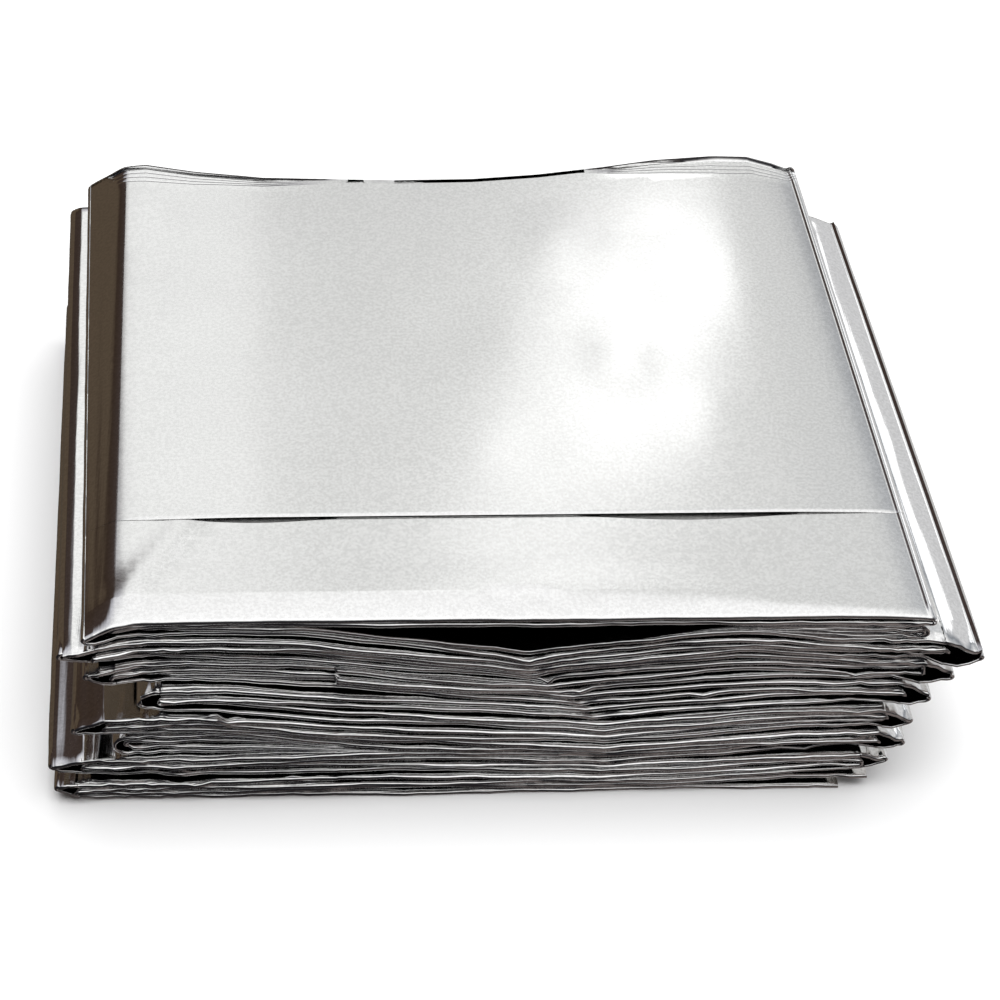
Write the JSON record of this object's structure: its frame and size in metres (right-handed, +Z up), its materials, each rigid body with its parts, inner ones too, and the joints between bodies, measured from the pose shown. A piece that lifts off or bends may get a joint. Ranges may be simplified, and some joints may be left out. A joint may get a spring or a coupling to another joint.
{
  "type": "emergency foil blanket",
  "caption": "Emergency blanket of silver metallised film, folded back and forth into a loose rectangular pad that lies flat.",
  "frame": {"origin": "centre of the pad's footprint, on the surface it rests on", "axes": "+Z up out of the surface, +Y from the front layer edges to the back ones, +X to the right along the pad's longer side, across the layers' side folds"},
  "size_m": [0.1492, 0.1216, 0.0391],
  "materials": {
    "metallised_film": "bright silver metallised film with a fine crinkle"
  },
  "bodies": {
    "root": {"foil_blanket": "metallised_film"}
  },
  "joints": []
}
